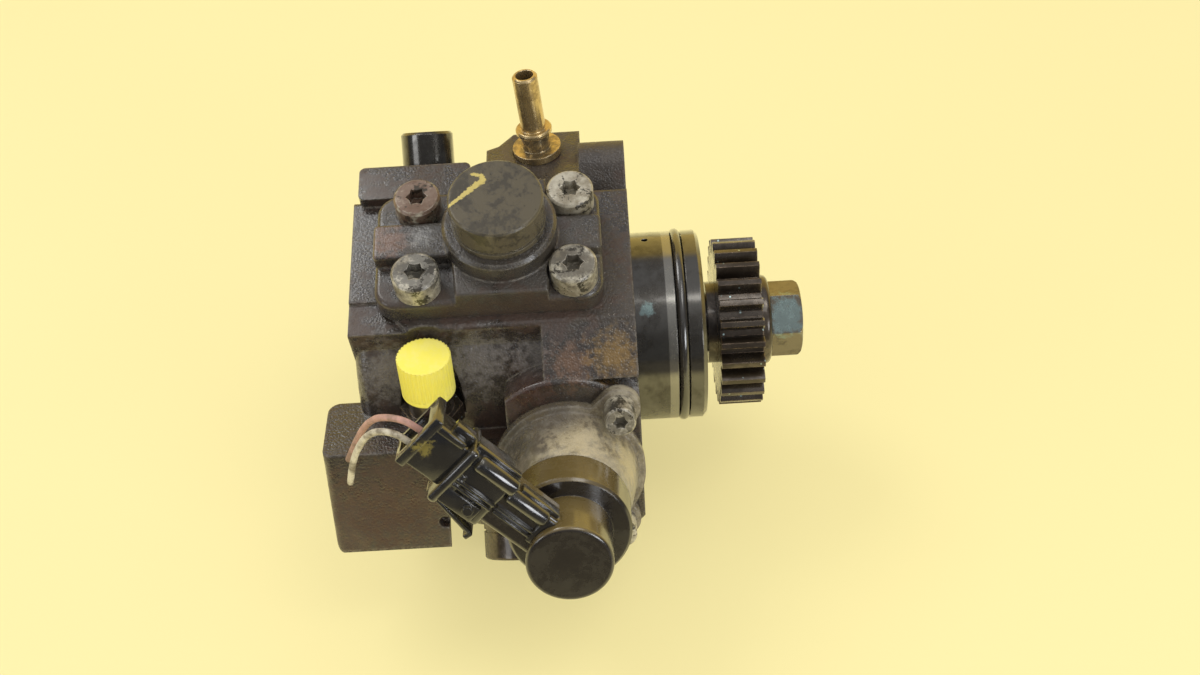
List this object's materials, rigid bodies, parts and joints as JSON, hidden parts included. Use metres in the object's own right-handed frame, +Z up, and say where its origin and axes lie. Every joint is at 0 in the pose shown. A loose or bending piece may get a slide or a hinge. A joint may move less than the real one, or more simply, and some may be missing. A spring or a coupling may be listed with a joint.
{
  "type": "diesel injection pump",
  "caption": "Radial-piston diesel injection pump with an electric metering valve, drive gear and nut, mounting drum, fuel outlet under a cap, and cut connector wires.",
  "frame": {"origin": "where the shaft's axis meets the housing's flat mounting face", "axes": "+X along the shaft to the gear, +Z up as the pump lies in use on a bench, -Y to the metering valve's side"},
  "size_m": [0.1546, 0.186, 0.1419],
  "materials": {
    "cast_housing": "oily phosphated casting",
    "cast_heads": "oily phosphated casting",
    "ground_steel": "ground, darkened by oil",
    "dark_steel": "phosphated, worn at the edges",
    "screw_steel": "zinc plated, dull",
    "inner_steel": "ground",
    "bronze": "passivated",
    "valve_casting": "die cast, oily",
    "coil_copper": "enamelled wire",
    "black_plastic": "satin",
    "seal_rubber": "oily",
    "cap_plastic": "soft satin",
    "pink_insulation": "dusty",
    "white_insulation": "dusty"
  },
  "bodies": {
    "housing": {"barrel_1": "inner_steel", "barrel_2": "inner_steel", "barrel_3": "inner_steel", "coil_housing": "black_plastic", "connector_pins": "bronze", "cylinder_head_1": "cast_heads", "cylinder_head_2": "cast_heads", "cylinder_head_3": "cast_heads", "front_bush": "bronze", "head_bolts": "screw_steel", "head_plug_1": "dark_steel", "head_plug_2": "dark_steel", "head_plug_3": "dark_steel", "metering_spring": "inner_steel", "o_rings": "seal_rubber", "outlet_fitting": "dark_steel", "outlet_plugs": "screw_steel", "overflow_plug": "ground_steel", "overflow_spring": "inner_steel", "pilot_flange": "ground_steel", "plunger_1": "inner_steel", "plunger_2": "inner_steel", "plunger_3": "inner_steel", "plunger_springs": "inner_steel", "pump_housing": "cast_housing", "rear_bush": "bronze", "rear_cover": "ground_steel", "rear_cover_screws": "screw_steel", "return_nipple": "bronze", "shaft_seal": "seal_rubber", "solenoid_coil": "coil_copper", "tappet_foot_1": "inner_steel", "tappet_foot_2": "inner_steel", "tappet_foot_3": "inner_steel", "thrust_washers": "bronze", "valve_body": "valve_casting", "valve_core_tube": "inner_steel", "valve_screws": "screw_steel"},
    "shaft": {"drive_shaft": "dark_steel", "shaft_key": "dark_steel", "drive_gear": "dark_steel", "gear_washer": "dark_steel", "shaft_nut": "dark_steel"},
    "ring": {"cam_ring": "inner_steel", "cam_ring_bush": "bronze"},
    "spool": {"metering_spool": "inner_steel", "valve_armature": "inner_steel"},
    "relief_piston": {"overflow_piston": "inner_steel"},
    "cap": {"protective_cap": "cap_plastic"},
    "plug": {"connector_plug": "black_plastic", "wire_pink": "pink_insulation", "wire_white": "white_insulation"},
    "suction_disc_1": {"suction_valve_1": "inner_steel"},
    "delivery_ball_1": {"outlet_ball_1": "inner_steel"},
    "suction_disc_2": {"suction_valve_2": "inner_steel"},
    "delivery_ball_2": {"outlet_ball_2": "inner_steel"},
    "suction_disc_3": {"suction_valve_3": "inner_steel"},
    "delivery_ball_3": {"outlet_ball_3": "inner_steel"}
  },
  "joints": [
    {"name": "shaft_spin", "type": "hinge", "parent": "housing", "child": "shaft", "pos_m": [0, 0, 0], "axis": [1, 0, 0], "continuous": true},
    {"name": "ring_orbit", "type": "hinge", "parent": "shaft", "child": "ring", "pos_m": [-0.0397, -0.00091, 0.00338], "axis": [1, 0, 0], "continuous": true},
    {"name": "spool_slide", "type": "slide", "parent": "housing", "child": "spool", "axis": [0, -0.9659, 0.2588], "range_m": [0, 0.003], "stiffness_N_per_m": 900, "deforming": ["metering_spring"]},
    {"name": "relief_slide", "type": "slide", "parent": "housing", "child": "relief_piston", "axis": [0, 0.5736, 0.8192], "range_m": [0, 0.003], "stiffness_N_per_m": 900, "deforming": ["overflow_spring"]},
    {"name": "cap_lift", "type": "slide", "parent": "housing", "child": "cap", "axis": [0, 0, 1], "range_m": [0, 0.02]},
    {"name": "plug_pull", "type": "slide", "parent": "housing", "child": "plug", "axis": [-0.7071, 0.183, 0.683], "range_m": [0, 0.014]},
    {"name": "suction_lift_1", "type": "slide", "parent": "housing", "child": "suction_disc_1", "axis": [0, -0.2588, 0.9659], "range_m": [0, 0.0006]},
    {"name": "delivery_lift_1", "type": "slide", "parent": "housing", "child": "delivery_ball_1", "axis": [1, 0, 0], "range_m": [0, 0.0005]},
    {"name": "suction_lift_2", "type": "slide", "parent": "housing", "child": "suction_disc_2", "axis": [0, 0.9659, -0.2588], "range_m": [0, 0.0006]},
    {"name": "delivery_lift_2", "type": "slide", "parent": "housing", "child": "delivery_ball_2", "axis": [1, 0, 0], "range_m": [0, 0.0005]},
    {"name": "suction_lift_3", "type": "slide", "parent": "housing", "child": "suction_disc_3", "axis": [0, -0.7071, -0.7071], "range_m": [0, 0.0006]},
    {"name": "delivery_lift_3", "type": "slide", "parent": "housing", "child": "delivery_ball_3", "axis": [1, 0, 0], "range_m": [0, 0.0005]}
  ],
  "couplings": [
    {"joint": "ring_orbit", "follows": "shaft_spin", "ratio": -1}
  ]
}
